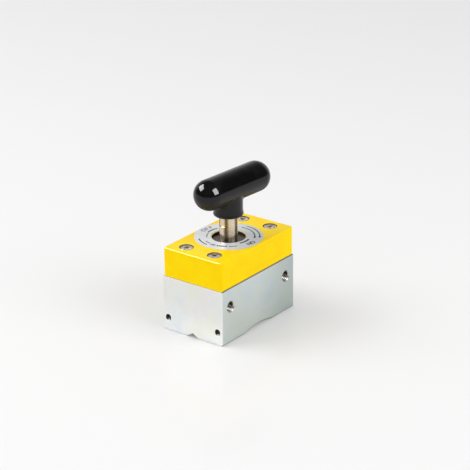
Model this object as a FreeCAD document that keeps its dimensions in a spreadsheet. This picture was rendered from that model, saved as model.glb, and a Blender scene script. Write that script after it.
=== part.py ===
import FreeCAD, Part
import Sketcher
import os

# Switchable magnetic welding block: a steel pole block with two magnet discs in a bore,
# a housing screwed on top, and a T grip whose spindle turns the upper disc half a turn.
# Frame: X across the block, Y along it, Z up; origin at the middle of the underside.

Vector = FreeCAD.Vector
Rotation = FreeCAD.Rotation
UP = Vector(0, 0, 1)

doc = FreeCAD.newDocument("magnet_block")
sheet = doc.addObject("Spreadsheet::Sheet", "sizes")

dimensions = [
    # pole block
    ("block_width", 52.0, "block across X"),
    ("block_length", 85.0, "block along Y"),
    ("block_height", 41.0, "block along Z"),
    ("block_round", 1.2, "radius of the block's upright edges"),
    ("block_break", 0.25, "bevel of the block's top edges"),
    ("block_foot_break", 0.8, "bevel of its outer edges underneath"),
    ("bore_wall", 3.0, "steel left beside the magnet bore"),
    ("bore_floor", 7.0, "steel left under the magnet bore"),
    ("vee_half_width", 6.0, "V groove, half its mouth"),
    ("vee_half_angle", 60.0, "V groove, wall from the vertical"),
    ("relief_half_width", 16.0, "cross relief, half its mouth"),
    ("relief_depth", 2.3, "cross relief, depth at the middle"),
    ("side_tap", 6.8, "tapped holes of the long faces, core diameter for M8"),
    ("side_mouth", 8.8, "their countersunk mouth"),
    ("side_depth", 9.0, "their depth"),
    ("side_edge", 10.1, "their axes from the end faces"),
    ("side_drop", 13.8, "their axes under the block's top"),
    ("end_tap", 4.2, "tapped holes of the end faces, core diameter for M5"),
    ("end_mouth", 4.9, "their countersunk mouth"),
    ("end_depth", 10.0, "their depth"),
    ("end_edge", 4.2, "their axes from the long faces"),
    ("end_height", 10.0, "their height"),
    ("drill_tip", 118.0, "drill point angle"),
    # magnet stack
    ("disc_gap", 0.1, "radial clearance of the discs in the bore"),
    ("disc_bevel", 0.6, "bevel of the disc rims"),
    ("slip_thickness", 1.0, "slip disc"),
    ("pad_thickness", 1.0, "float pad"),
    ("pad_gap", 0.5, "float pad to drive pins"),
    ("key_diameter", 4.0, "locating pin of the lower disc"),
    ("key_length", 8.0, "its length"),
    ("key_sink", 3.0, "its depth in the bore floor"),
    ("key_inset", 0.1, "gap from it to the bore wall"),
    ("key_angle", 45.0, "its direction from X"),
    # housing
    ("gasket_thickness", 0.3, "gasket between block and housing"),
    ("gasket_inset", 0.5, "gasket edge behind the housing's sides"),
    ("housing_inset", 0.4, "housing sides behind the block's sides"),
    ("housing_height", 21.2, "housing along Z"),
    ("housing_round", 2.0, "radius of the housing's upright edges"),
    ("housing_top_round", 1.1, "radius of the housing's top edge"),
    ("cavity_gap", 0.3, "radial gap round the hub flange"),
    ("hub_bore_gap", 0.1, "housing bore over the hub journal, radial"),
    ("hub_bore_break", 0.15, "bevel of that bore"),
    ("bush_wall", 2.3, "bush wall"),
    ("bush_play", 0.05, "bush over the hub journal, radial"),
    ("bush_gap", 0.3, "bush to seal, along Z"),
    ("screw_side", 13.7, "housing screws from the long faces"),
    ("screw_end", 10.1, "housing screws from the end faces"),
    ("screw_thread", 5.0, "screw diameter, M5"),
    ("screw_head", 9.9, "screw head"),
    ("screw_reach", 8.85, "screws' reach into the block"),
    ("screw_socket", 3.0, "socket across flats"),
    ("screw_socket_depth", 2.2, "socket depth"),
    ("screw_clearance", 5.5, "screw holes in the housing"),
    ("screw_sink", 10.6, "countersink in the housing"),
    ("screw_tap_depth", 10.0, "screw holes in the block"),
    ("thread_fit", 0.03, "radial play of a screw in its thread"),
    ("dowel_diameter", 4.0, "locating dowels"),
    ("dowel_length", 11.0, "their length"),
    ("dowel_side", 6.5, "their distance from the long faces"),
    ("dowel_end", 7.5, "their distance from the end faces"),
    ("pin_fit", 0.02, "radial play of a pressed pin"),
    # hub and stop
    ("flange_step", 1.0, "hub flange inside the magnet bore"),
    ("flange_height", 7.0, "hub flange along Z"),
    ("journal_step", 11.1, "hub journal inside the magnet bore"),
    ("journal_recess", 1.5, "hub face below the housing's top"),
    ("journal_break", 0.5, "bevel of the hub's edges"),
    ("washer_gap", 0.8, "thrust washer to stop pin"),
    ("washer_play", 0.35, "thrust washer over the hub journal, radial"),
    ("washer_thickness", 1.5, "thrust washer"),
    ("seal_groove_depth", 1.75, "seal groove in the journal"),
    ("seal_width", 1.8, "seal along Z"),
    ("seal_below", 1.9, "seal's top face below the hub face"),
    ("seal_gap", 0.05, "seal to housing, radial"),
    ("seal_play", 0.1, "seal groove over the seal, along Z"),
    ("drive_diameter", 5.0, "drive pins"),
    ("drive_edge", 3.5, "their axes inside the flange rim"),
    ("drive_hold", 3.8, "their depth in the flange"),
    ("drive_reach", 5.0, "their reach below the flange"),
    ("drive_play", 0.1, "side play in the disc's slots"),
    ("slot_over", 0.6, "disc's slots longer than the pins, inwards"),
    ("slot_depth", 4.6, "disc's slots, depth"),
    ("stop_diameter", 4.0, "stop pin"),
    ("stop_edge", 2.7, "its axis inside the flange rim"),
    ("stop_depth", 3.0, "arc groove in the flange"),
    ("stop_hold", 8.0, "stop pin's length in the housing"),
    ("stop_play", 0.2, "groove over stop pin, each side"),
    ("turn_angle", 180.0, "turn from OFF to ON"),
    # spindle
    ("post_diameter", 13.0, "spindle"),
    ("post_seat", 6.0, "spindle's depth in the hub's face"),
    ("post_thread", 10.0, "threaded ends of the spindle, M10"),
    ("post_lift", 2.5, "spindle's lower end above the flange's underside"),
    ("shoulder_drop", 15.6, "its upper shoulder under the bar's axis"),
    ("post_drop", 2.1, "its upper end under the bar's axis"),
    ("post_break", 0.6, "bevel of its ends"),
    ("flats_across", 11.0, "spanner flats"),
    ("flats_drop", 8.2, "the flats' lower end under the neck"),
    ("flats_angle", 257.0, "direction of the flats from X"),
    ("roll_diameter", 3.0, "roll pin"),
    ("roll_wall", 0.6, "its wall"),
    ("roll_slit", 0.5, "its slit"),
    ("roll_inset", 1.15, "its ends inside the journal"),
    ("roll_rise", 3.5, "its axis above the flange"),
    # grip
    ("grip_rise", 37.3, "the bar's axis above the housing"),
    ("grip_radius", 11.2, "bar"),
    ("grip_long", 27.85, "axis to the centre of the far ball end"),
    ("grip_short", 19.3, "axis to the centre of the near ball end"),
    ("grip_angle", 84.8, "direction of the long arm from X"),
    ("neck_drop", 20.5, "the neck's underside under the bar's axis"),
    ("neck_waist", 10.4, "neck radius under the bar"),
    ("neck_foot_radius", 11.3, "neck radius at the foot"),
    ("neck_foot_round", 1.6, "rounding of the foot"),
    ("flare_height", 3.5, "flare of the foot along Z"),
    ("neck_flare_round", 14.0, "rounding of that bend"),
    ("neck_blend", 3.0, "fillet between neck and bar"),
    ("socket_diameter", 13.4, "opening for the spindle in the foot"),
    ("insert_across", 14.0, "hexagonal insert, across flats"),
    ("insert_length", 15.0, "its length"),
    ("insert_neck", 13.0, "diameter of the groove round it"),
    ("insert_groove", 2.4, "width of that groove"),
    # dial
    ("dial_edge", 1.5, "dial ring behind the block's long faces"),
    ("dial_rim", 0.7, "dial ring behind the housing bore"),
    ("dial_thickness", 0.4, "dial ring"),
]
for row, (alias, number, note) in enumerate(dimensions, start=1):
    sheet.set("A%d" % row, note)
    sheet.set("B%d" % row, str(number))
    sheet.setAlias("B%d" % row, alias)

# heights and radii that follow from the sizes above
derived = [
    ("bore_diameter", "block_width - 2 * bore_wall"),
    ("side_pitch", "block_length - 2 * side_edge"),
    ("side_height", "block_height - side_drop"),
    ("end_pitch", "block_width - 2 * end_edge"),
    ("screw_pitch_x", "block_width - 2 * screw_side"),
    ("screw_pitch_y", "block_length - 2 * screw_end"),
    ("dowel_x", "block_width / 2 - dowel_side"),
    ("dowel_y", "block_length / 2 - dowel_end"),
    ("bore_radius", "bore_diameter / 2"),
    ("disc_height", "(block_height - bore_floor - slip_thickness - pad_thickness) / 2"),
    ("disc_radius", "bore_radius - disc_gap"),
    ("slip_foot", "bore_floor + disc_height"),
    ("rotor_foot", "slip_foot + slip_thickness"),
    ("pad_foot", "rotor_foot + disc_height"),
    ("flange_foot", "pad_foot + pad_thickness"),
    ("flange_top", "flange_foot + flange_height"),
    ("ceiling", "flange_top + washer_thickness"),
    ("flange_diameter", "bore_diameter - 2 * flange_step"),
    ("journal_diameter", "bore_diameter - 2 * journal_step"),
    ("hub_bore", "journal_diameter + 2 * hub_bore_gap"),
    ("bush_bore", "journal_diameter + 2 * bush_play"),
    ("bush_outer", "bush_bore + 2 * bush_wall"),
    ("washer_bore", "journal_diameter + 2 * washer_play"),
    ("seal_groove", "journal_diameter - 2 * seal_groove_depth"),
    ("roll_length", "journal_diameter - 2 * roll_inset"),
    ("drive_radius", "flange_diameter / 2 - drive_edge"),
    ("slot_inner", "drive_radius - drive_diameter / 2 - slot_over"),
    ("pad_diameter", "2 * (drive_radius - drive_diameter / 2 - pad_gap)"),
    ("key_radius", "bore_radius - key_diameter / 2 - key_inset"),
    ("stop_radius", "flange_diameter / 2 - stop_edge"),
    ("washer_outer", "2 * (stop_radius - stop_diameter / 2 - washer_gap)"),
    ("roll_height", "flange_top + roll_rise"),
    ("housing_foot", "block_height + gasket_thickness"),
    ("housing_top", "housing_foot + housing_height"),
    ("housing_width", "block_width - 2 * housing_inset"),
    ("housing_length", "block_length - 2 * housing_inset"),
    ("hub_face", "housing_top - journal_recess"),
    ("seal_top", "hub_face - seal_below"),
    ("seal_foot", "seal_top - seal_width"),
    ("bush_length", "seal_foot - bush_gap - ceiling"),
    ("post_radius", "post_diameter / 2"),
    ("post_seat_foot", "hub_face - post_seat"),
    ("grip_height", "housing_top + grip_rise"),
    ("neck_foot", "grip_height - neck_drop"),
    ("neck_flare", "neck_foot + flare_height"),
    ("post_foot", "flange_foot + post_lift"),
    ("post_shoulder", "grip_height - shoulder_drop"),
    ("post_top", "grip_height - post_drop"),
    ("flats_foot", "neck_foot - flats_drop"),
    ("dial_outer", "block_width - 2 * dial_edge"),
    ("dial_bore", "hub_bore + 2 * dial_rim"),
    ("screw_head_top", "housing_top - (screw_sink - screw_head) / 2"),
    ("screw_length", "screw_head_top - block_height + screw_reach"),
    ("vee_depth", "vee_half_width / tan(vee_half_angle * 1 deg)"),
    ("relief_radius", "(relief_half_width ^ 2 + relief_depth ^ 2) / (2 * relief_depth)"),
]
for row, (alias, formula) in enumerate(derived, start=len(dimensions) + 1):
    sheet.set("B%d" % row, "=" + formula)
    sheet.setAlias("B%d" % row, alias)
doc.recompute()

nodes = []


def value(formula):
    number = sheet.evalExpression(formula.replace("sizes.", ""))
    return float(getattr(number, "Value", number))


def new_body(name, turn=None):
    body = doc.addObject("PartDesign::Body", name)
    body.Label = name
    if turn:
        body.Placement = FreeCAD.Placement(Vector(), Rotation(UP, value(turn)))
        body.setExpression(".Placement.Rotation.Angle", turn)
    nodes.append(body)
    return body


def origin_plane(body, role):
    return [item for item in body.Origin.OriginFeatures if item.Role == role][0]


def new_sketch(body, name, role="XY_Plane", height="0"):
    sketch = body.newObject("Sketcher::SketchObject", name)
    sketch.AttachmentSupport = [(origin_plane(body, role), "")]
    sketch.MapMode = "FlatFace"
    sketch.setExpression(".AttachmentOffset.Base.z", height)
    return sketch


def hold(sketch, kind, formula, *geometry):
    index = sketch.addConstraint(Sketcher.Constraint(kind, *geometry, value(formula)))
    sketch.setExpression("Constraints[%d]" % index, formula)


def hold_point(sketch, item, end, across, along):
    for kind, axis, formula in (("DistanceX", -2, across), ("DistanceY", -1, along)):
        if formula == "0":
            sketch.addConstraint(Sketcher.Constraint("PointOnObject", item, end, axis))
        else:
            hold(sketch, kind, formula, -1, 1, item, end)


def circle(sketch, diameter, across="0", along="0"):
    centre = Vector(value(across), value(along), 0)
    item = sketch.addGeometry(Part.Circle(centre, UP, value(diameter) / 2))
    hold_point(sketch, item, 3, across, along)
    hold(sketch, "Diameter", diameter, item)


def outline(sketch, corners):
    points = [Vector(value(across), value(along), 0) for across, along in corners]
    lines = []
    for index, point in enumerate(points):
        after = points[(index + 1) % len(points)]
        lines.append(sketch.addGeometry(Part.LineSegment(point, after)))
    for index, line in enumerate(lines):
        after = lines[(index + 1) % len(lines)]
        sketch.addConstraint(Sketcher.Constraint("Coincident", line, 2, after, 1))
        hold_point(sketch, line, 1, *corners[index])


def box_outline(sketch, width, length):
    half_x = "(%s) / 2" % width
    half_y = "(%s) / 2" % length
    outline(sketch, [("-" + half_x, "-" + half_y), (half_x, "-" + half_y),
                     (half_x, half_y), ("-" + half_x, half_y)])


def extrude(body, kind, name, sketch, length=None, reverse=False):
    feature = body.newObject("PartDesign::" + kind, name)
    feature.Profile = sketch
    feature.Reversed = reverse
    if length:
        feature.setExpression("Length", length)
    else:
        feature.Type = "ThroughAll"
        feature.Midplane = True
    doc.recompute()
    return feature


def turned(body, kind, name, sketch, angle="360"):
    feature = body.newObject("PartDesign::" + kind, name)
    feature.Profile = sketch
    feature.ReferenceAxis = (sketch, ["V_Axis"])
    feature.setExpression("Angle", angle)
    doc.recompute()
    return feature


def dress(body, kind, name, base, size, wanted):
    names = ["Edge%d" % (n + 1) for n, edge in enumerate(base.Shape.Edges) if wanted(edge)]
    feature = body.newObject("PartDesign::" + kind, name)
    feature.Base = (base, names)
    feature.setExpression("Radius" if kind == "Fillet" else "Size", size)
    doc.recompute()
    return feature


def mirror(body, name, originals, *roles):
    for role in roles:
        feature = body.newObject("PartDesign::Mirrored", "%s_%s" % (name, role[:2]))
        feature.Originals = originals
        feature.MirrorPlane = (origin_plane(body, role), [""])
        body.Tip = feature
        doc.recompute()
        originals = originals + [feature]


def upright(edge):
    low, high = edge.BoundBox.ZMin, edge.BoundBox.ZMax
    flat = edge.BoundBox.XLength < 1e-6 and edge.BoundBox.YLength < 1e-6
    return flat and high - low > 1


def drilled(body, name, sketch, drill, depth, mouth, reverse):
    hole = body.newObject("PartDesign::Hole", name)
    hole.Profile = sketch
    doc.recompute()
    hole.Threaded = False
    hole.Reversed = reverse
    hole.DepthType = "Dimension"
    hole.DrillPoint = "Angled"
    hole.setExpression("DrillPointAngle", "sizes.drill_tip")
    hole.HoleCutType = "Countersink"
    hole.HoleCutCustomValues = True
    hole.HoleCutCountersinkAngle = 90
    hole.setExpression("Diameter", drill)
    hole.setExpression("Depth", depth)
    hole.setExpression("HoleCutDiameter", mouth)
    doc.recompute()
    return hole


def plain_pin(name, diameter, length, across, along, foot, bevel="0.4"):
    # round pin with bevelled ends
    rod = doc.addObject("Part::Cylinder", name + "_rod")
    rod.setExpression("Radius", "%s / 2" % diameter)
    rod.setExpression("Height", length)
    doc.recompute()
    pin = doc.addObject("Part::Chamfer", name)
    pin.Base = rod
    pin.Edges = [(n + 1, value(bevel), value(bevel)) for n, edge in enumerate(rod.Shape.Edges)
                 if edge.BoundBox.ZLength < 1e-6]
    pin.setExpression(".Placement.Base.x", across)
    pin.setExpression(".Placement.Base.y", along)
    pin.setExpression(".Placement.Base.z", foot)
    return pin


def ring_body(name, outer, inner, foot, length, bevel=None):
    # flat ring or disc; inner may be left out
    body = new_body(name)
    sketch = new_sketch(body, name + "_plan", height=foot)
    circle(sketch, outer)
    if inner:
        circle(sketch, inner)
    disc = extrude(body, "Pad", name + "_blank", sketch, length)
    if bevel:
        radius = value(outer) / 2
        dress(body, "Chamfer", name + "_bevel", disc, bevel,
              lambda edge: abs(edge.BoundBox.XMax - radius) < 1e-3 and edge.BoundBox.ZLength < 1e-3)
    return body


def pin_group(name, pins):
    group = doc.addObject("Part::Compound", name)
    group.Label = name
    group.Links = pins
    nodes.append(group)


def corners_xy(across, along):
    return [(x + across, y + along) for x in ("-", "") for y in ("-", "")]


# pole block: blank, grooves underneath, magnet bore, tapped holes
block = new_body("pole_body")
sketch = new_sketch(block, "block_plan")
box_outline(sketch, "sizes.block_width", "sizes.block_length")
step = extrude(block, "Pad", "block_blank", sketch, "sizes.block_height")
step = dress(block, "Fillet", "block_corners", step, "sizes.block_round", upright)
step = dress(block, "Chamfer", "block_edges", step, "sizes.block_break",
             lambda edge: edge.BoundBox.ZMin > value("sizes.block_height") - 1e-6)

sketch = new_sketch(block, "vee_profile", "XZ_Plane")
outline(sketch, [("-sizes.vee_half_width", "0"), ("sizes.vee_half_width", "0"), ("0", "sizes.vee_depth")])
extrude(block, "Pocket", "vee_groove", sketch)

sketch = new_sketch(block, "relief_profile", "YZ_Plane")
circle(sketch, "2 * sizes.relief_radius", "0", "sizes.relief_depth - sizes.relief_radius")
step = extrude(block, "Pocket", "cross_relief", sketch)


def foot_outline(edge):
    # the outer edges underneath, up over the relief but not round the V groove
    centre, box = edge.CenterOfMass, edge.BoundBox
    margins = (value("sizes.block_width / 2") - abs(centre.x), value("sizes.block_length / 2") - abs(centre.y))
    return (box.ZMax < value("sizes.relief_depth") + 1e-3 and min(margins) < value("sizes.block_round")
            and not (box.YLength < 1e-6 and box.ZLength > 1e-6))


dress(block, "Chamfer", "block_foot_edges", step, "sizes.block_foot_break", foot_outline)

sketch = new_sketch(block, "bore_plan", height="sizes.block_height")
circle(sketch, "sizes.bore_diameter")
extrude(block, "Pocket", "magnet_bore", sketch, "sizes.block_height - sizes.bore_floor")

sketch = new_sketch(block, "key_plan", height="sizes.bore_floor")
circle(sketch, "sizes.key_diameter + 2 * sizes.pin_fit",
       "sizes.key_radius * cos(sizes.key_angle * 1 deg)", "sizes.key_radius * sin(sizes.key_angle * 1 deg)")
extrude(block, "Pocket", "key_hole", sketch, "sizes.key_sink")

sketch = new_sketch(block, "thread_plan", height="sizes.block_height")
for x, y in corners_xy("sizes.screw_pitch_x / 2", "sizes.screw_pitch_y / 2"):
    circle(sketch, "sizes.screw_thread + 2 * sizes.thread_fit", x, y)
extrude(block, "Pocket", "screw_threads", sketch, "sizes.screw_tap_depth")

sketch = new_sketch(block, "dowel_plan", height="sizes.block_height")
for sign in ("", "-"):
    circle(sketch, "sizes.dowel_diameter + 2 * sizes.pin_fit", sign + "sizes.dowel_x", sign + "sizes.dowel_y")
extrude(block, "Pocket", "dowel_holes", sketch, "sizes.dowel_length / 2")

sketch = new_sketch(block, "side_plan", "YZ_Plane", "sizes.block_width / 2")
for sign in ("", "-"):
    circle(sketch, "sizes.side_tap", sign + "sizes.side_pitch / 2", "sizes.side_height")
side = drilled(block, "side_holes", sketch, "sizes.side_tap", "sizes.side_depth", "sizes.side_mouth", False)
mirror(block, "side_holes_far", [side], "YZ_Plane")

sketch = new_sketch(block, "end_plan", "XZ_Plane", "sizes.block_length / 2")
for sign in ("", "-"):
    circle(sketch, "sizes.end_tap", sign + "sizes.end_pitch / 2", "sizes.end_height")
end = drilled(block, "end_holes", sketch, "sizes.end_tap", "sizes.end_depth", "sizes.end_mouth", False)
mirror(block, "end_holes_far", [end], "XZ_Plane")

# magnet stack: fixed disc with a notch for its key, sheet, turning disc with two drive slots
base = ring_body("base_magnet", "2 * sizes.disc_radius", None, "sizes.bore_floor", "sizes.disc_height",
                 "sizes.disc_bevel")
sketch = new_sketch(base, "notch_plan", height="sizes.bore_floor")
circle(sketch, "sizes.key_diameter + 2 * sizes.drive_play",
       "sizes.key_radius * cos(sizes.key_angle * 1 deg)", "sizes.key_radius * sin(sizes.key_angle * 1 deg)")
extrude(base, "Pocket", "key_notch", sketch, "sizes.key_length - sizes.key_sink + sizes.stop_play", True)

nodes.append(plain_pin("base_key", "sizes.key_diameter", "sizes.key_length",
                       "sizes.key_radius * cos(sizes.key_angle * 1 deg)",
                       "sizes.key_radius * sin(sizes.key_angle * 1 deg)",
                       "sizes.bore_floor - sizes.key_sink"))
ring_body("slip_disc", "2 * sizes.disc_radius", None, "sizes.slip_foot", "sizes.slip_thickness")

rotor = ring_body("rotor_magnet", "2 * sizes.disc_radius", None, "sizes.rotor_foot", "sizes.disc_height",
                  "sizes.disc_bevel")
sketch = new_sketch(rotor, "slot_plan", height="sizes.pad_foot")
for sign in ("", "-"):
    inner, outer = sign + "sizes.slot_inner", sign + "sizes.bore_radius"
    half = "(sizes.drive_diameter / 2 + sizes.drive_play)"
    outline(sketch, [(inner, "-" + half), (outer, "-" + half), (outer, half), (inner, half)])
extrude(rotor, "Pocket", "drive_slots", sketch, "sizes.slot_depth")
ring_body("float_pad", "sizes.pad_diameter", None, "sizes.pad_foot", "sizes.pad_thickness")

# housing: rounded cover with a cavity for the hub flange, bush seat and hub bore
housing = new_body("top_housing")
sketch = new_sketch(housing, "housing_plan", height="sizes.housing_foot")
box_outline(sketch, "sizes.housing_width", "sizes.housing_length")
step = extrude(housing, "Pad", "housing_blank", sketch, "sizes.housing_height")
step = dress(housing, "Fillet", "housing_corners", step, "sizes.housing_round", upright)
top = value("sizes.housing_top")
step = dress(housing, "Fillet", "housing_top_edge", step, "sizes.housing_top_round",
             lambda edge: edge.BoundBox.ZMin > top - 1e-6)

for name, diameter, foot, length in (
        ("cavity", "sizes.flange_diameter + 2 * sizes.cavity_gap", "sizes.housing_foot",
         "sizes.ceiling - sizes.housing_foot"),
        ("bush_seat", "sizes.bush_outer + 2 * sizes.pin_fit", "sizes.ceiling", "sizes.bush_length"),
        ("hub_bore", "sizes.hub_bore", "sizes.ceiling", "sizes.housing_height")):
    sketch = new_sketch(housing, name + "_plan", height=foot)
    circle(sketch, diameter)
    step = extrude(housing, "Pocket", name + "_cut", sketch, length, True)
hub_bore_radius = value("sizes.hub_bore / 2")
dress(housing, "Chamfer", "hub_bore_bevel", step, "sizes.hub_bore_break",
      lambda edge: edge.BoundBox.ZMin > top - 1e-6 and abs(edge.BoundBox.XMax - hub_bore_radius) < 1e-3)

sketch = new_sketch(housing, "screw_plan", height="sizes.housing_top")
for x, y in corners_xy("sizes.screw_pitch_x / 2", "sizes.screw_pitch_y / 2"):
    circle(sketch, "sizes.screw_clearance", x, y)
drilled(housing, "screw_holes", sketch, "sizes.screw_clearance", "sizes.housing_height + sizes.block_break",
        "sizes.screw_sink", False)

for name, diameter, depth, foot, places in (
        ("dowel_seats", "sizes.dowel_diameter", "sizes.dowel_length / 2", "sizes.housing_foot",
         (("sizes.dowel_x", "sizes.dowel_y"), ("-sizes.dowel_x", "-sizes.dowel_y"))),
        ("stop_seat", "sizes.stop_diameter", "sizes.stop_hold", "sizes.ceiling", (("sizes.stop_radius", "0"),))):
    sketch = new_sketch(housing, name + "_plan", height=foot)
    for x, y in places:
        circle(sketch, diameter + " + 2 * sizes.pin_fit", x, y)
    extrude(housing, "Pocket", name, sketch, depth, True)

gasket = new_body("housing_gasket")
sketch = new_sketch(gasket, "gasket_plan", height="sizes.block_height")
box_outline(sketch, "sizes.housing_width - 2 * sizes.gasket_inset",
            "sizes.housing_length - 2 * sizes.gasket_inset")
circle(sketch, "sizes.bore_diameter")
for x, y in corners_xy("sizes.screw_pitch_x / 2", "sizes.screw_pitch_y / 2"):
    circle(sketch, "sizes.screw_clearance", x, y)
for sign in ("", "-"):
    circle(sketch, "sizes.dowel_diameter + 2 * sizes.pin_fit", sign + "sizes.dowel_x", sign + "sizes.dowel_y")
extrude(gasket, "Pad", "gasket_sheet", sketch, "sizes.gasket_thickness")

# countersunk socket screw, turned and mirrored to the four corners
screw = doc.addObject("PartDesign::Body", "screw")
sketch = new_sketch(screw, "screw_profile", "XZ_Plane")
shank, head = "sizes.screw_thread / 2", "sizes.screw_head / 2"
head_top = "sizes.screw_head_top"
outline(sketch, [("0", head_top + " - sizes.screw_length"),
                 (shank + " - sizes.post_break", head_top + " - sizes.screw_length"),
                 (shank, head_top + " - sizes.screw_length + sizes.post_break"),
                 (shank, head_top + " - (sizes.screw_head - sizes.screw_thread) / 2"),
                 (head, head_top), ("0", head_top)])
turned(screw, "Revolution", "screw_turned", sketch)
sketch = new_sketch(screw, "socket_plan", height=head_top)
flat_half = "sizes.screw_socket / 2"
corner = "sizes.screw_socket / sqrt(3)"
outline(sketch, [(corner, "0"), (corner + " / 2", flat_half), ("-" + corner + " / 2", flat_half),
                 ("-" + corner, "0"), ("-" + corner + " / 2", "-" + flat_half), (corner + " / 2", "-" + flat_half)])
extrude(screw, "Pocket", "screw_recess", sketch, "sizes.screw_socket_depth")
screw.setExpression(".Placement.Base.x", "sizes.screw_pitch_x / 2")
screw.setExpression(".Placement.Base.y", "sizes.screw_pitch_y / 2")
screws = [screw]
for normal in (Vector(1, 0, 0), Vector(0, 1, 0)):
    for source in list(screws):
        twin = doc.addObject("Part::Mirroring", "screw_twin")
        twin.Source = source
        twin.Normal = normal
        screws.append(twin)
pin_group("housing_screws", screws)

pin_group("housing_dowels", [
    plain_pin("dowel", "sizes.dowel_diameter", "sizes.dowel_length", sign + "sizes.dowel_x",
              sign + "sizes.dowel_y", "sizes.block_height - sizes.dowel_length / 2")
    for sign in ("", "-")])
nodes.append(plain_pin("stop_pin", "sizes.stop_diameter",
                       "sizes.stop_hold + sizes.washer_thickness + sizes.stop_depth - sizes.stop_play",
                       "sizes.stop_radius", "0", "sizes.flange_top - sizes.stop_depth + sizes.stop_play"))
ring_body("hub_bush", "sizes.bush_outer", "sizes.bush_bore", "sizes.ceiling", "sizes.bush_length")
ring_body("thrust_washer", "sizes.washer_outer", "sizes.washer_bore", "sizes.flange_top",
          "sizes.washer_thickness")
ring_body("dial_ring", "sizes.dial_outer", "sizes.dial_bore", "sizes.housing_top", "sizes.dial_thickness")

# hub: flange under the housing, journal up through it, arc groove round the stop pin
hub = new_body("drive_hub")
sketch = new_sketch(hub, "hub_profile", "XZ_Plane")
journal = "sizes.journal_diameter / 2"
seal_floor = "sizes.seal_groove / 2"
thread_wall = "sizes.post_thread / 2 + sizes.thread_fit"
seat_wall = "sizes.post_radius + sizes.pin_fit"
flange = "sizes.flange_diameter / 2"
outline(sketch, [(thread_wall, "sizes.flange_foot"),
                 (flange + " - sizes.journal_break", "sizes.flange_foot"),
                 (flange, "sizes.flange_foot + sizes.journal_break"),
                 (flange, "sizes.flange_top"), (journal, "sizes.flange_top"),
                 (journal, "sizes.seal_foot - sizes.seal_play"),
                 (seal_floor, "sizes.seal_foot - sizes.seal_play"),
                 (seal_floor, "sizes.seal_top + sizes.seal_play"),
                 (journal, "sizes.seal_top + sizes.seal_play"),
                 (journal, "sizes.hub_face - sizes.journal_break"),
                 (journal + " - sizes.journal_break", "sizes.hub_face"),
                 (seat_wall, "sizes.hub_face"), (seat_wall, "sizes.post_seat_foot"),
                 (thread_wall, "sizes.post_seat_foot")])
step = turned(hub, "Revolution", "hub_turned", sketch)
sketch = new_sketch(hub, "stop_profile", "XZ_Plane")
stop_half = "(sizes.stop_diameter / 2 + sizes.stop_play)"
floor_level, rim_level = "sizes.flange_top - sizes.stop_depth", "sizes.flange_top"
inner, outer = "sizes.stop_radius - " + stop_half, "sizes.stop_radius + " + stop_half
outline(sketch, [(inner, floor_level), (outer, floor_level), (outer, rim_level), (inner, rim_level)])
turned(hub, "Groove", "stop_arc", sketch, "sizes.turn_angle")
sketch = new_sketch(hub, "stop_ends", height="sizes.flange_top")
for sign in ("", "-"):
    circle(sketch, "2 * " + stop_half, sign + "sizes.stop_radius", "0")
extrude(hub, "Pocket", "stop_arc_ends", sketch, "sizes.stop_depth")
sketch = new_sketch(hub, "drive_plan", height="sizes.flange_foot")
for sign in ("", "-"):
    circle(sketch, "sizes.drive_diameter + 2 * sizes.pin_fit", sign + "sizes.drive_radius", "0")
extrude(hub, "Pocket", "drive_holes", sketch, "sizes.drive_hold", True)
sketch = new_sketch(hub, "roll_hole_plan", "XZ_Plane")
circle(sketch, "sizes.roll_diameter + 2 * sizes.pin_fit", "0", "sizes.roll_height")
extrude(hub, "Pocket", "roll_hole", sketch)

pin_group("drive_pins", [
    plain_pin("drive_pin", "sizes.drive_diameter", "sizes.drive_hold + sizes.drive_reach",
              sign + "sizes.drive_radius", "0", "sizes.flange_foot - sizes.drive_reach")
    for sign in ("", "-")])

seal = new_body("hub_seal")
sketch = new_sketch(seal, "seal_profile", "XZ_Plane")
seal_wall = "sizes.hub_bore / 2 - sizes.seal_gap"
outline(sketch, [(seal_floor, "sizes.seal_foot"), (seal_wall, "sizes.seal_foot"),
                 (seal_wall, "sizes.seal_top"), (seal_floor, "sizes.seal_top")])
step = turned(seal, "Revolution", "seal_turned", sketch)
seal_radius = value(seal_wall)
dress(seal, "Chamfer", "seal_lips", step, "sizes.seal_width / 4",
      lambda edge: abs(edge.BoundBox.XMax - seal_radius) < 1e-3 and edge.BoundBox.ZLength < 1e-3)

# spindle: threaded foot in the hub, round post, spanner flats, threaded top
spindle = new_body("spindle")
sketch = new_sketch(spindle, "spindle_profile", "XZ_Plane")
thread = "sizes.post_thread / 2"
outline(sketch, [("0", "sizes.post_foot"), (thread + " - sizes.post_break", "sizes.post_foot"),
                 (thread, "sizes.post_foot + sizes.post_break"), (thread, "sizes.post_seat_foot"),
                 ("sizes.post_radius", "sizes.post_seat_foot"), ("sizes.post_radius", "sizes.post_shoulder"),
                 (thread, "sizes.post_shoulder"), (thread, "sizes.post_top - sizes.post_break"),
                 (thread + " - sizes.post_break", "sizes.post_top"), ("0", "sizes.post_top")])
turned(spindle, "Revolution", "spindle_turned", sketch)
sketch = new_sketch(spindle, "flats_plan", height="sizes.flats_foot")
sketch.AttachmentOffset = FreeCAD.Placement(Vector(0, 0, value("sizes.flats_foot")),
                                            Rotation(UP, value("sizes.flats_angle")))
sketch.setExpression(".AttachmentOffset.Rotation.Angle", "sizes.flats_angle")
for sign in ("", "-"):
    inner, outer = sign + "sizes.flats_across / 2", sign + "sizes.post_diameter"
    outline(sketch, [(inner, "-sizes.post_diameter"), (outer, "-sizes.post_diameter"),
                     (outer, "sizes.post_diameter"), (inner, "sizes.post_diameter")])
extrude(spindle, "Pocket", "spanner_flats", sketch, "sizes.post_shoulder - sizes.flats_foot", True)
sketch = new_sketch(spindle, "roll_plan", "XZ_Plane")
circle(sketch, "sizes.roll_diameter + 2 * sizes.pin_fit", "0", "sizes.roll_height")
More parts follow.
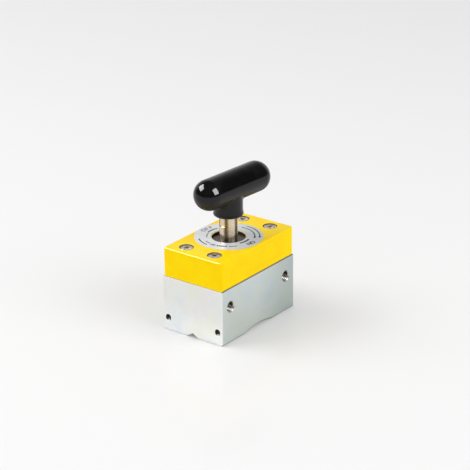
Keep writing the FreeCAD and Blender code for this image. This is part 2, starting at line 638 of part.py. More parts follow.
extrude(spindle, "Pocket", "roll_hole_post", sketch)

# slit spring pin across hub and spindle
roll = new_body("hub_roll_pin")
sketch = new_sketch(roll, "roll_section", "XZ_Plane", "-sizes.roll_length / 2")
circle(sketch, "sizes.roll_diameter", "0", "sizes.roll_height")
circle(sketch, "sizes.roll_diameter - 2 * sizes.roll_wall", "0", "sizes.roll_height")
extrude(roll, "Pad", "roll_tube", sketch, "sizes.roll_length")
sketch = new_sketch(roll, "roll_slit", "XZ_Plane")
slit = "sizes.roll_slit / 2"
slit_top = "sizes.roll_height + sizes.roll_diameter"
outline(sketch, [("-" + slit, "sizes.roll_height"), (slit, "sizes.roll_height"), (slit, slit_top),
                 ("-" + slit, slit_top)])
extrude(roll, "Pocket", "roll_slit_cut", sketch)

# grip: ball-ended bar set off-centre on a flared neck, blended where they meet
grip = new_body("grip", "sizes.grip_angle")
sketch = new_sketch(grip, "bar_profile", height="sizes.grip_height")
radius, far, near = value("sizes.grip_radius"), value("sizes.grip_long"), -value("sizes.grip_short")
axis_line = sketch.addGeometry(Part.LineSegment(Vector(near - radius, 0, 0), Vector(far + radius, 0, 0)))
side_line = sketch.addGeometry(Part.LineSegment(Vector(near, radius, 0), Vector(far, radius, 0)))
far_ball = sketch.addGeometry(Part.Arc(Vector(far + radius, 0, 0), Vector(far, 0, 0) + Vector(radius, radius, 0)
                                       * 0.5 ** 0.5, Vector(far, radius, 0)))
near_ball = sketch.addGeometry(Part.Arc(Vector(near, radius, 0), Vector(near, 0, 0) + Vector(-radius, radius, 0)
                                        * 0.5 ** 0.5, Vector(near - radius, 0, 0)))
hold_point(sketch, far_ball, 3, "sizes.grip_long", "0")
hold_point(sketch, near_ball, 3, "-sizes.grip_short", "0")
hold_point(sketch, side_line, 1, "-sizes.grip_short", "sizes.grip_radius")
hold_point(sketch, side_line, 2, "sizes.grip_long", "sizes.grip_radius")
sketch.addConstraint(Sketcher.Constraint("Coincident", side_line, 2, far_ball, 2))
sketch.addConstraint(Sketcher.Constraint("Coincident", side_line, 1, near_ball, 1))
sketch.addConstraint(Sketcher.Constraint("Coincident", axis_line, 2, far_ball, 1))
sketch.addConstraint(Sketcher.Constraint("Coincident", axis_line, 1, near_ball, 2))
sketch.addConstraint(Sketcher.Constraint("PointOnObject", axis_line, 1, -1))
sketch.addConstraint(Sketcher.Constraint("PointOnObject", axis_line, 2, -1))
bar = grip.newObject("PartDesign::Revolution", "bar")
bar.Profile = sketch
bar.ReferenceAxis = (sketch, ["H_Axis"])
bar.Angle = 360
doc.recompute()
sketch = new_sketch(grip, "neck_profile", "XZ_Plane")
outline(sketch, [("0", "sizes.neck_foot"), ("sizes.neck_foot_radius", "sizes.neck_foot"),
                 ("sizes.neck_waist", "sizes.neck_flare"),
                 ("sizes.neck_waist", "sizes.grip_height"), ("0", "sizes.grip_height")])
step = turned(grip, "Revolution", "neck", sketch)
foot = value("sizes.neck_foot")
step = dress(grip, "Fillet", "neck_foot_edge", step, "sizes.neck_foot_round",
             lambda edge: edge.BoundBox.ZMax < foot + 1e-3)
bend = value("sizes.neck_flare")
step = dress(grip, "Fillet", "neck_bend", step, "sizes.neck_flare_round",
             lambda edge: abs(edge.BoundBox.ZMin - bend) < 1e-3 and abs(edge.BoundBox.ZMax - bend) < 1e-3)
under, axis_height = value("sizes.grip_height - sizes.grip_radius"), value("sizes.grip_height")
waist = value("sizes.neck_waist")
step = dress(grip, "Fillet", "neck_saddle", step, "sizes.neck_blend",
             lambda edge: edge.BoundBox.ZMin > under - 0.5 and edge.BoundBox.ZMax < axis_height - 1
             and edge.BoundBox.XLength < 2 * waist + 0.1)

sketch = new_sketch(grip, "socket_round", height="sizes.neck_foot")
circle(sketch, "sizes.socket_diameter")
extrude(grip, "Pocket", "post_socket", sketch, "sizes.post_shoulder - sizes.neck_foot", True)
half = "sizes.insert_across / 2"
tip = "sizes.insert_across / sqrt(3)"
hexagon = [(tip, "0"), (tip + " / 2", half), ("-" + tip + " / 2", half),
           ("-" + tip, "0"), ("-" + tip + " / 2", "-" + half), (tip + " / 2", "-" + half)]
groove_foot = "sizes.post_shoulder + (sizes.insert_length - sizes.insert_groove) / 2"
lands = (("lower", "sizes.post_shoulder"), ("upper", groove_foot + " + sizes.insert_groove"))
for name, level in lands:
    sketch = new_sketch(grip, name + "_hexagon", height=level)
    outline(sketch, hexagon)
    extrude(grip, "Pocket", name + "_pocket", sketch, "(sizes.insert_length - sizes.insert_groove) / 2", True)
sketch = new_sketch(grip, "ridge_bore", height=groove_foot)
circle(sketch, "sizes.insert_neck")
extrude(grip, "Pocket", "ridge", sketch, "sizes.insert_groove", True)

insert = new_body("grip_insert", "sizes.grip_angle")
sketch = new_sketch(insert, "insert_core", height="sizes.post_shoulder")
circle(sketch, "sizes.insert_neck")
extrude(insert, "Pad", "insert_barrel", sketch, "sizes.insert_length")
for name, level in lands:
    sketch = new_sketch(insert, name + "_land", height=level)
    outline(sketch, hexagon)
    extrude(insert, "Pad", name + "_hex", sketch, "(sizes.insert_length - sizes.insert_groove) / 2")
sketch = new_sketch(insert, "insert_thread", height="sizes.post_shoulder")
circle(sketch, "sizes.post_thread + 2 * sizes.thread_fit")
extrude(insert, "Pocket", "insert_bore", sketch, "sizes.insert_length", True)

doc.recompute()
broken = [item.Name for item in doc.Objects if "Invalid" in item.State or "Error" in item.State]
if broken:
    raise RuntimeError("failed objects: %s" % broken)
for node in nodes:
    if node.Shape.isNull() or not node.Shape.isValid():
        raise RuntimeError("bad shape: %s" % node.Label)

os.makedirs("parts", exist_ok=True)
for node in nodes:
    node.Shape.exportStep("parts/%s.step" % node.Label)
    box = node.Shape.BoundBox
    print("%-16s solids %d volume %9.1f x %.2f..%.2f y %.2f..%.2f z %.2f..%.2f" % (
        node.Label, len(node.Shape.Solids), node.Shape.Volume, box.XMin, box.XMax, box.YMin, box.YMax,
        box.ZMin, box.ZMax))
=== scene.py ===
import bmesh
import bpy
import math
from mathutils import Matrix, Vector


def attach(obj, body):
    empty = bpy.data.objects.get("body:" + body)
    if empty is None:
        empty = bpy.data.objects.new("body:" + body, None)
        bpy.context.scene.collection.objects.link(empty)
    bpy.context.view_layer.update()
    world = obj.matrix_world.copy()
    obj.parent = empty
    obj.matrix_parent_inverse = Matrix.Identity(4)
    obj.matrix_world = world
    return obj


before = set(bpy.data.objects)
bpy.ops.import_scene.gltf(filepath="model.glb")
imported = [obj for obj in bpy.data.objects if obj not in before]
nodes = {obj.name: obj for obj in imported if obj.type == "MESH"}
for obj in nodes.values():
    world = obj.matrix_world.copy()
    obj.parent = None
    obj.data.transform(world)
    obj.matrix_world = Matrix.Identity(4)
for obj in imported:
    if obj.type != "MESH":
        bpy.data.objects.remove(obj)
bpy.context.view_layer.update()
print("frame loaded:", len(nodes), "nodes")

mm = 0.001  # sizes below are in millimetres


def inMetres(sizes):
    return [size * mm for size in sizes]


# ---- shading helpers

class Wire:
    # one output socket; an expression on wires adds its Math nodes
    def __init__(self, board, socket):
        self.board = board
        self.socket = socket

    def maths(self, operation, *values):
        return self.board.node("ShaderNodeMath", {"operation": operation}, values)

    def __add__(self, other):
        return self.maths("ADD", self, other)

    def __radd__(self, other):
        return self.maths("ADD", other, self)

    def __sub__(self, other):
        return self.maths("SUBTRACT", self, other)

    def __rsub__(self, other):
        return self.maths("SUBTRACT", other, self)

    def __mul__(self, other):
        return self.maths("MULTIPLY", self, other)

    def __rmul__(self, other):
        return self.maths("MULTIPLY", other, self)

    def __truediv__(self, other):
        return self.maths("DIVIDE", self, other)

    def __abs__(self):
        return self.maths("ABSOLUTE", self)

    def __lt__(self, other):
        return self.maths("LESS_THAN", self, other)

    def __gt__(self, other):
        return self.maths("GREATER_THAN", self, other)

    def least(self, other):
        return self.maths("MINIMUM", self, other)

    def most(self, other):
        return self.maths("MAXIMUM", self, other)

    def length(self, other):
        # hypotenuse of two wires
        return self.maths("SQRT", self * self + other * other)

    def between(self, low, high):
        # 0 below low, 1 above high, smooth between
        return self.board.node("ShaderNodeMapRange", {"interpolation_type": "SMOOTHSTEP"},
                               {"Value": self, "From Min": low, "From Max": high}, "Result")


class Board:
    # nodes of one tree
    def __init__(self, tree):
        self.tree = tree
        self.tree.nodes.clear()

    def plug(self, socket, value):
        if isinstance(value, Wire):
            self.tree.links.new(value.socket, socket)
        else:
            socket.default_value = value

    def node(self, kind, settings=(), inputs=(), output=0):
        made = self.tree.nodes.new(kind)
        for key, value in dict(settings).items():
            if key == "stops":
                ramp = made.color_ramp
                while len(ramp.elements) < len(value):
                    ramp.elements.new(0.5)
                for element, (at, colour) in zip(ramp.elements, value):
                    element.position = at
                    element.color = colour
            else:
                setattr(made, key, value)
        pairs = inputs.items() if isinstance(inputs, dict) else enumerate(inputs)
        for key, value in pairs:
            self.plug(made.inputs[key], value)
        return Wire(self, made.outputs[output]) if made.outputs else None

    def parts(self, vector):
        return [self.node("ShaderNodeSeparateXYZ", inputs=[vector], output=axis)
                for axis in "XYZ"]

    def seen(self):
        # 1 for what the camera, a mirror or glass sees, 0 for the light on a surface
        camera, mirror, glass = (self.node("ShaderNodeLightPath", output=ray) for ray in
                                 ("Is Camera Ray", "Is Glossy Ray", "Is Transmission Ray"))
        return camera.most(mirror).most(glass)


class Finish(Board):
    # a material round one Principled shader
    def __init__(self, name, metallic=0.0, roughness=0.5, **fixed):
        self.material = bpy.data.materials.new(name)
        self.material.use_nodes = True
        super().__init__(self.material.node_tree)
        self.shader = self.tree.nodes.new("ShaderNodeBsdfPrincipled")
        surface = Wire(self, self.shader.outputs[0])
        self.node("ShaderNodeOutputMaterial", inputs={"Surface": surface})
        self.put("Metallic", metallic)
        self.put("Roughness", roughness)
        for key, value in fixed.items():
            self.put(key.replace("_", " "), value)
        self.place = self.node("ShaderNodeTexCoord", output="Object")
        self.x, self.y, self.z = self.parts(self.place)

    def put(self, name, value):
        self.plug(self.shader.inputs[name], value)

    def facing(self):
        return self.parts(self.node("ShaderNodeTexCoord", output="Normal"))

    def noise(self, cells, detail=2.0, roughness=0.5, distortion=0.0):
        # cells per millimetre, one number or one per axis
        scale = cells if isinstance(cells, tuple) else (cells, cells, cells)
        place = self.node("ShaderNodeMapping", inputs={
            "Vector": self.place, "Scale": tuple(cell / mm for cell in scale)})
        return self.node("ShaderNodeTexNoise", inputs={
            "Vector": place, "Scale": 1.0, "Detail": detail, "Roughness": roughness,
            "Distortion": distortion})

    def lines(self, along, pitch, detail=2.0):
        # noise along one wire only, a line every pitch millimetres or so
        return self.node("ShaderNodeTexNoise", {"noise_dimensions": "1D"},
                         {"W": along / (pitch * mm), "Scale": 1.0, "Detail": detail})

    def blend(self, share, first, second, mode="MIX"):
        settings = {"data_type": "RGBA", "blend_type": mode}
        return self.node("ShaderNodeMix", settings, {0: share, 6: first, 7: second}, 2)

    def ramp(self, share, *stops):
        return self.node("ShaderNodeValToRGB", {"stops": stops}, [share])

    def bump(self, height, distance):
        self.put("Normal", self.node("ShaderNodeBump", inputs={
            "Strength": 1.0, "Distance": distance * mm, "Height": height}))

    def dress(self, *names):
        for name in names:
            for slot in nodes[name].material_slots:
                slot.material = self.material
        return self


def srgb(red, green, blue):
    # a colour as a picture editor gives it, 0 to 255
    def straight(level):
        level = level / 255
        return level / 12.92 if level <= 0.04045 else ((level + 0.055) / 1.055) ** 2.4
    return (straight(red), straight(green), straight(blue), 1.0)


# ---- finishes

zincLook = {
    "light": srgb(250, 251, 249), "blue": srgb(239, 246, 251), "olive": srgb(247, 249, 239),
    "pink": srgb(250, 244, 249), "grain": srgb(196, 204, 202), "cornerGlint": srgb(250, 251, 250),
    "side": srgb(228, 235, 234), "farSideShade": srgb(196, 205, 204),
    "end": srgb(236, 236, 235), "endFootReflection": srgb(254, 254, 253),
    "endRim": srgb(224, 224, 220), "sideRimShade": srgb(112, 110, 104), "foot": srgb(150, 152, 146),
    "cut": srgb(84, 80, 72), "mouth": srgb(206, 206, 202), "roughness": 0.36,
    "half": (26.0, 42.5),  # half the block's width and length
    "skin": 0.01,  # what lies deeper under a face than this is the wall of a hole
    "rimFrom": 40.72, "rimWidth": 0.5,  # the height at which the matt rim starts
    # where the tones change: along the block, up the end faces, in from a corner, up from the foot
    "sideFade": (-10, 42), "endFade": (2, 26), "cornerFade": (0.2, 1.1), "footFade": (0.5, 1.5),
    # across, height, radius of the core and of the mouth
    "sideHole": (32.4, 27.2, 3.55, 4.5), "endHole": (21.8, 10.0, 2.25, 2.5),
    "relief": (56.80, 16.0, 54.50)}  # radius, half its length, how far the axis lies below


def zincPlate():
    look = zincLook
    finish = Finish("zinc_plate")
    x, y, z = finish.x, finish.y, finish.z
    halfX, halfY = inMetres(look["half"])
    endFace = abs(finish.facing()[1]) > 0.6
    alongLines = finish.noise((9.0, 0.12, 9.0), detail=3)  # grinding lines of the long faces
    acrossLines = finish.noise((0.12, 9.0, 9.0), detail=3)  # and of the end faces
    grinding = alongLines * (1 - endFace) + acrossLines * endFace
    cloud = finish.noise(0.045, detail=3, roughness=0.6)
    second = finish.noise(0.03, detail=2, distortion=0.6)
    colour = finish.ramp(cloud, (0.3, look["blue"]), (0.48, look["light"]), (0.66, look["olive"]))
    colour = finish.blend(second.between(0.52, 0.72) * 0.5, colour, look["pink"])
    grain = finish.noise(2.2, detail=4, roughness=0.7)
    colour = finish.blend(grain.between(0.35, 0.7) * 0.10, colour, look["grain"])
    # painted shade and painted reflection: the long faces are greyer, most of all at the back, and
    # the end faces palest at their foot
    side = finish.blend(y.between(*inMetres(look["sideFade"])), look["side"], look["farSideShade"])
    end = finish.blend(z.between(*inMetres(look["endFade"])), look["endFootReflection"], look["end"])
    colour = finish.blend(1.0, colour, finish.blend(endFace, side, end), "MULTIPLY")
    # painted highlight: the vertical corners are painted paler
    corner = (halfX - abs(x)) + (halfY - abs(y))
    cornerGlint = 1 - corner.between(*inMetres(look["cornerFade"]))
    colour = finish.blend(cornerGlint * 0.9, colour, look["cornerGlint"])
    # painted shade: the foot of the long faces is darker, along the relief too
    radius, half, drop = inMetres(look["relief"])
    run = abs(y).least(half)
    foot = z - (x.maths("SQRT", radius * radius - run * run) - drop)
    footShade = (1 - foot.between(*inMetres(look["footFade"]))) * (abs(x) > halfX - 1 * mm)
    colour = finish.blend(footShade, colour, look["foot"])
    # the tapped holes were drilled after plating; the dark inside them is partly the cut steel and
    # partly painted shade
    acrossY, sideZ, sideRadius, sideMouth = inMetres(look["sideHole"])
    acrossX, endZ, endRadius, endMouth = inMetres(look["endHole"])
    fromSide = (abs(y) - acrossY).length(z - sideZ)
    fromEnd = (abs(x) - acrossX).length(z - endZ)
    insideSide = abs(x) < halfX - look["skin"] * mm
    insideEnd = abs(y) < halfY - look["skin"] * mm
    mouth = ((fromSide < sideMouth) * insideSide).most((fromEnd < endMouth) * insideEnd)
    cut = ((fromSide < sideRadius) * insideSide).most((fromEnd < endRadius) * insideEnd)
    colour = finish.blend(mouth, colour, look["mouth"])
    colour = finish.blend(cut, colour, look["cut"])
    # matt where the housing sits on it, with painted shade: dark along the long faces, pale on the
    # end faces
    rim = z > look["rimFrom"] * mm
    sideRimShade = abs(x) > halfX - look["rimWidth"] * mm
    rimColour = finish.blend(sideRimShade, look["endRim"], look["sideRimShade"])
    finish.put("Base Color", finish.blend(rim, colour, rimColour))
    finish.put("Metallic", 1 - rim)
    polish = look["roughness"] + (grinding - 0.5) * 0.16 + (cloud - 0.5) * 0.14 - cornerGlint * 0.06
    finish.put("Roughness", polish + rim * 0.5)
    finish.bump(grinding * 0.7 + grain * 0.5, 0.010)
    return finish.dress("pole_body")


yellowLook = {
    "face": srgb(255, 218, 0), "deep": srgb(254, 211, 0), "pale": srgb(255, 222, 3),
    "bareShaded": srgb(82, 72, 60), "lipHighlight": srgb(255, 240, 150), "grimeAndShade": srgb(120, 86, 30),
    "roughness": 0.30, "topGloss": 0.18, "edgeGloss": 0.6,
    "seat": (12.3, 32.4, 5.28), "seatTop": 62.47,  # across, along, radius
    # radius and top of the bore; radius and foot of its lip, painted pale
    "bore": (12.1, 62.49), "boreLip": (12.9, 62.2),
    # heights between which the dirt and painted shade fade; how far out it starts; height of the
    # rounded edges
    "joint": (41.5, 41.9), "jointFrom": 25.4, "edgeFrom": 61.4}


def yellowPaint():
    look = yellowLook
    finish = Finish("yellow_powder_coat", Specular_IOR_Level=0.05, Coat_Roughness=0.22)
    x, y, z = finish.x, finish.y, finish.z
    cloud = finish.noise(0.07, detail=3, roughness=0.6)
    peel = finish.noise(1.1, detail=2, roughness=0.45)
    fine = finish.noise(4.5, detail=2)
    colour = finish.ramp(cloud, (0.3, look["deep"]), (0.55, look["face"]), (0.8, look["pale"]))
    colour = finish.blend(peel.between(0.6, 0.8) * 0.2, colour, look["deep"])
    # bare metal where the screw seats and the hub's bore were cut after painting, darkened as
    # painted shade
    seatX, seatY, seatRadius = inMetres(look["seat"])
    seat = (abs(x) - seatX).length(abs(y) - seatY) < seatRadius
    boreRadius, boreTop = inMetres(look["bore"])
    bore = x.length(y) < boreRadius
    bareShaded = (seat * (z < look["seatTop"] * mm)).most(bore * (z < boreTop))
    # painted highlight: the lip round the bore is painted pale
    lipRadius, lipFoot = inMetres(look["boreLip"])
    lipHighlight = (x.length(y) < lipRadius) * (z > lipFoot)
    colour = finish.blend(lipHighlight * 0.7, colour, look["lipHighlight"])
    # darker along the joint with the block on the long faces: dirt and painted shade
    joint = (1 - z.between(*inMetres(look["joint"]))) * (abs(x) > look["jointFrom"] * mm)
    colour = finish.blend(joint * 0.75, colour, look["grimeAndShade"])
    finish.put("Base Color", finish.blend(bareShaded, colour, look["bareShaded"]))
    finish.put("Metallic", bareShaded)
    # glossier on the top, most of all along its rounded edges
    upward = finish.facing()[2]
    top = upward > 0.9
    edge = (z > look["edgeFrom"] * mm) * (upward > 0.05) * (1 - top)
    finish.put("Coat Weight", (top * look["topGloss"] + edge * look["edgeGloss"]) * (1 - bareShaded))
    polish = look["roughness"] + (cloud - 0.5) * 0.10 + (fine - 0.5) * 0.05
    finish.put("Roughness", polish + bareShaded * 0.35)
    finish.bump(peel + fine * 0.15, 0.018)
    return finish.dress("top_housing")


dialLook = {"light": srgb(240, 242, 244), "shade": srgb(205, 210, 210), "metallic": 0.35,
            "roughness": 0.42, "radius": 24.5, "shadeTowards": (0.80, 0.61)}


def dialPlate():
    look = dialLook
    finish = Finish("dial_aluminium", metallic=look["metallic"])
    rings = finish.lines(finish.x.length(finish.y), 0.12, detail=3.0)
    cloud = finish.noise(0.12, detail=2)
    # painted shade: the ring is darker towards one side
    across, along = (size / (look["radius"] * mm) for size in look["shadeTowards"])
    turn = finish.x * across + finish.y * along
    share = turn.between(-0.4, 1.0) * 0.8 + cloud.between(0.35, 0.7) * 0.2
    finish.put("Base Color", finish.blend(share, look["light"], look["shade"]))
    finish.put("Roughness", look["roughness"] + (rings - 0.5) * 0.2)
    finish.bump(rings, 0.006)
    return finish.dress("dial_ring")


def turnedMetal(name, dark, light, roughness, pitch, nodeNames, depth=0.010):
    # lathe lines every pitch: on faces they follow the radius from the Z axis, on walls the height
    finish = Finish(name, metallic=1.0)
    onFace = abs(finish.facing()[2]) > 0.7
    rings = finish.lines(finish.x.length(finish.y) * onFace + finish.z * (1 - onFace), pitch)
    cloud = finish.noise(0.25, detail=3, roughness=0.6)
    share = (rings * 0.6 + cloud * 0.4).between(0.3, 0.7)
    finish.put("Base Color", finish.blend(share, dark, light))
    finish.put("Roughness", roughness + (rings - 0.5) * 0.14 + (cloud - 0.5) * 0.12)
    finish.bump(rings, depth)
    return finish.dress(*nodeNames)


screwLook = {"dark": srgb(142, 124, 108), "light": srgb(236, 225, 212), "metallic": 0.75,
             "roughness": 0.2, "head": 4.95, "dish": 42.0, "rim": 55.0, "rimFrom": 0.82}


def screwSteel():
    look = screwLook
    seatX, seatY = inMetres(yellowLook["seat"][:2])
    finish = Finish("screw_steel", metallic=look["metallic"])
    away = (abs(finish.x) - seatX).length(abs(finish.y) - seatY)
    rings = finish.lines(away, 0.22)
    cloud = finish.noise(0.8, detail=3)
    finish.put("Base Color", finish.blend(cloud.between(0.35, 0.65), look["dark"], look["light"]))
    finish.put("Roughness", look["roughness"] + (rings - 0.5) * 0.25)
    # the heads are a little dished and rounded at the rim
    outwards = away / (look["head"] * mm)
    rim = outwards.between(look["rimFrom"], 1.0)
    dished = outwards * outwards * look["dish"]
    finish.bump(rings + cloud * 7 + dished - rim * look["rim"], 0.012)
    return finish.dress("housing_screws")


postLook = {"dark": srgb(112, 96, 78), "light": srgb(226, 211, 190), "metallic": 0.75,
            "roughness": 0.26, "reflectionBands": 5, "turned": 253}  # how many bands, turned in degrees


def postMetal():
    # painted reflection: bright and dark bands run along the bar all the way round, mixed with
    # streaks
    look = postLook
    finish = Finish("bright_turned_steel", metallic=look["metallic"])
    angle = finish.y.maths("ARCTAN2", finish.y, finish.x)
    phase = angle * look["reflectionBands"] + math.radians(look["turned"])
    reflectionWave = phase.maths("SINE", phase) * 0.5 + 0.5
    streak = finish.noise((1.2, 1.2, 0.04), detail=3)
    rings = finish.lines(finish.z, 0.25)
    share = (reflectionWave * 0.8 + streak * 0.3).between(0.12, 0.6)
    finish.put("Base Color", finish.blend(share, look["dark"], look["light"]))
    finish.put("Roughness", look["roughness"] + (rings - 0.5) * 0.14 + (streak - 0.5) * 0.1)
    finish.bump(rings + streak * 0.5, 0.008)
    return finish.dress("spindle")


gripLook = {"black": srgb(14, 14, 15), "haze": srgb(24, 23, 24), "roughness": 0.05}


def gripPlastic():
    look = gripLook
    finish = Finish("black_thermoset", IOR=1.5, Specular_IOR_Level=0.31)
    haze = finish.noise(0.09, detail=3, roughness=0.6)
    skin = finish.noise(0.55, detail=2)
    fine = finish.noise(3.0, detail=2)
    finish.put("Base Color", finish.blend(haze.between(0.4, 0.75), look["black"], look["haze"]))
    under = (finish.facing()[2] * -1).between(0.15, 0.6)  # less polished below
    polish = look["roughness"] + haze.between(0.4, 0.7) * 0.05 + fine.between(0.6, 0.8) * 0.04
    finish.put("Roughness", polish + under * 0.45)
    finish.bump(skin + fine * 0.06, 0.008)
    return finish.dress("grip")


def rubberSkin():
    finish = Finish("black_rubber")
    grain = finish.noise(3.0, detail=4, roughness=0.7)
    cloud = finish.noise(0.2)
    finish.put("Base Color", finish.blend(cloud, srgb(64, 54, 38), srgb(90, 78, 54)))
    finish.put("Roughness", 0.72 + (grain - 0.5) * 0.2)
    finish.bump(grain, 0.03)
    return finish.dress("housing_gasket", "float_pad", "hub_seal")


def slipSheet():
    finish = Finish("white_slip_sheet")
    grain = finish.noise(1.6, detail=3)
    finish.put("Base Color", finish.blend(grain, srgb(228, 228, 222), srgb(240, 240, 236)))
    finish.put("Roughness", 0.48 + (grain - 0.5) * 0.15)
    finish.bump(grain, 0.01)
    return finish.dress("slip_disc")


def printedInk(name, thin, full):
    # screen print: a little uneven, darker where the ink lies thick
    finish = Finish(name, Specular_IOR_Level=0.3)
    patch = finish.noise(1.4, detail=3, roughness=0.6)
    finish.put("Base Color", finish.blend(patch.between(0.35, 0.6), thin, full))
    finish.put("Roughness", 0.5 + (patch - 0.5) * 0.2)
    finish.bump(patch, 0.006)
    return finish


threadLook = {"dark": srgb(60, 56, 48), "light": srgb(250, 249, 244), "shade": srgb(66, 62, 54),
              "split": 15.0}  # a height between the holes in the ends and those in the long faces


def threadSteel():
    # painted shade: the upper side of each hole is dark
    look = threadLook
    finish = Finish("cut_thread", metallic=1.0)
    grain = finish.noise(3.0, detail=3)
    isSide = finish.z > look["split"] * mm
    sideHeight, endHeight = zincLook["sideHole"][1], zincLook["endHole"][1]
    height = finish.z - endHeight * mm - isSide * (sideHeight - endHeight) * mm
    lower = 1 - (height / mm).between(-1.5, -0.3)
    colour = finish.blend(grain.between(0.25, 0.6), look["dark"], look["light"])
    finish.put("Base Color", finish.blend(lower, look["shade"], colour))
    finish.put("Roughness", 0.32 + (grain - 0.5) * 0.2)
    finish.bump(grain, 0.01)
    return finish


zincPlate()
yellowPaint()
dialPlate()
screwSteel()
turnedMetal("dark_turned_steel", srgb(70, 60, 56), srgb(108, 96, 90), 0.30, 0.35,
            ["drive_hub"], 0.015)
postMetal()
gripPlastic()
rubberSkin()
slipSheet()
turnedMetal("ground_steel", srgb(170, 170, 170), srgb(204, 204, 202), 0.25, 0.2,
            ["base_key", "housing_dowels", "stop_pin", "drive_pins", "hub_roll_pin"])
turnedMetal("machined_brass", srgb(196, 160, 92), srgb(226, 194, 120), 0.28, 0.3,
            ["grip_insert"])
turnedMetal("nickel_plate", srgb(196, 192, 184), srgb(220, 217, 210), 0.22, 0.8,
            ["base_magnet", "rotor_magnet"])
turnedMetal("sintered_bronze", srgb(150, 108, 62), srgb(188, 142, 88), 0.45, 0.2,
            ["hub_bush", "thrust_washer"])
darkInk = printedInk("dark_ink", srgb(52, 54, 68), srgb(26, 28, 42))
greyInk = printedInk("grey_ink", srgb(144, 146, 156), srgb(110, 112, 124))
threadMetal = threadSteel()
print("finishes made")


# ---- modelling helpers

def settle(piece, name=None):
    # names a fresh object and moves its place into its mesh
    if name:
        piece.name = name
        piece.data.name = name
    bpy.ops.object.select_all(action="DESELECT")
    piece.select_set(True)
    bpy.context.view_layer.objects.active = piece
    bpy.ops.object.transform_apply(location=True, rotation=True, scale=True)
    return piece


def edit(piece):
    bpy.context.view_layer.objects.active = piece
    bpy.ops.object.mode_set(mode="EDIT")


def done():
    bpy.ops.object.mode_set(mode="OBJECT")


def pickCorners(piece, wanted):
    mesh = bmesh.from_edit_mesh(piece.data)
    for corner in mesh.verts:
        corner.select = bool(wanted(corner.co))
    mesh.select_flush_mode()
    bmesh.update_edit_mesh(piece.data)


def thicken(piece, thickness):
    wall = piece.modifiers.new("wall", "SOLIDIFY")
    wall.thickness = thickness * mm
    wall.offset = 1.0
    bpy.context.view_layer.objects.active = piece
    bpy.ops.object.modifier_apply(modifier="wall")


def joined(pieces, name):
    bpy.ops.object.select_all(action="DESELECT")
    for piece in pieces:
        piece.select_set(True)
    bpy.context.view_layer.objects.active = pieces[0]
    bpy.ops.object.join()
    return settle(bpy.context.object, name)


def finished(piece, finish, body):
    piece.data.materials.clear()
    piece.data.materials.append(finish.material)
    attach(piece, body)


# ---- print on the dial

dialPrint = {
    "top": 62.9, "thickness": 0.015,
    "arrowWidth": 2.6, "arrowLength": 2.6,  # in widths of the stroke; in millimetres
    "degreesPerStep": 3,
    # of a letter's height: from one letter to the next, and what its outline is thickened by
    "spacing": 1.08, "boldness": 0.045, "capitals": 0.70,  # height of a capital in the font
    # radius, from and to in degrees counter-clockwise seen from above, width, arrow
    "strokes": [
        (15.4, 16, -20, 1.50, False), (16.3, 158, 192, 1.20, False), (15.4, 195, 225, 0.60, False),
        (18.4, 98, 34, 0.80, True), (21.9, 92, 36, 0.80, True), (21.35, -130, -97, 0.90, False),
        (18.2, -113, -96, 0.75, False), (19.0, -50, -34, 1.00, False)],
    # from and to in degrees, how many; inner and outer radius; width
    "ticks": [(-92, -84, 3, 17.9, 20.0, 0.85), (-77, -58, 5, 17.8, 19.9, 0.95)],
    "words": [("ON", -3, 18.7, 3.4), ("OFF", 176, 19.1, 3.4)]}  # word, middle, foot radius, height


def onDial(radius, turn, height):
    # the point at a radius in millimetres and a turn in radians
    return Vector((radius * mm * math.cos(turn), radius * mm * math.sin(turn), height * mm))


def printedStroke(radius, start, end, width, arrow):
    # a radial edge swept round the axis; the spin turns clockwise, so its angle is negated
    look = dialPrint
    first, last = math.radians(start), math.radians(end)
    bpy.ops.object.select_all(action="DESELECT")
    bpy.ops.mesh.primitive_plane_add(size=width * mm, rotation=(0, 0, first),
                                     location=onDial(radius, first, look["top"]))
    stroke = settle(bpy.context.object)
    onward = Vector((-math.sin(first), math.cos(first), 0))
    edit(stroke)
    pickCorners(stroke, lambda corner: corner.dot(onward) > 0)
    bpy.ops.mesh.delete(type="VERT")
    bpy.ops.mesh.select_all(action="SELECT")
    steps = max(3, int(abs(end - start) / look["degreesPerStep"]))
    bpy.ops.mesh.spin(steps=steps, angle=first - last, center=(0, 0, look["top"] * mm),
                      axis=(0, 0, 1))
    if arrow:
        tip = onDial(radius, last, look["top"])
        onward = Vector((-math.sin(last), math.cos(last), 0)) * math.copysign(1, end - start)
        bpy.ops.mesh.extrude_region_move()
        bpy.ops.transform.resize(value=(look["arrowWidth"],) * 3, center_override=tip)
        bpy.ops.mesh.extrude_region_move(
            TRANSFORM_OT_translate={"value": onward * look["arrowLength"] * mm})
        bpy.ops.mesh.merge(type="CENTER")
    bpy.ops.mesh.select_all(action="SELECT")
    bpy.ops.mesh.normals_make_consistent(inside=False)
    done()
    thicken(stroke, look["thickness"])
    return stroke


def printedTick(angle, inner, outer, width):
    look = dialPrint
    turn = math.radians(angle)
    bpy.ops.object.select_all(action="DESELECT")
    bpy.ops.mesh.primitive_plane_add(size=width * mm, rotation=(0, 0, turn),
                                     location=onDial((inner + outer) / 2, turn, look["top"]))
    tick = bpy.context.object
    tick.scale.x = (outer - inner) / width
    settle(tick)
    edit(tick)
    bpy.ops.mesh.select_all(action="SELECT")
    bpy.ops.mesh.extrude_region_move(
        TRANSFORM_OT_translate={"value": (0, 0, look["thickness"] * mm)})
    bpy.ops.mesh.select_all(action="SELECT")
    bpy.ops.mesh.normals_make_consistent(inside=False)
    done()
    return tick


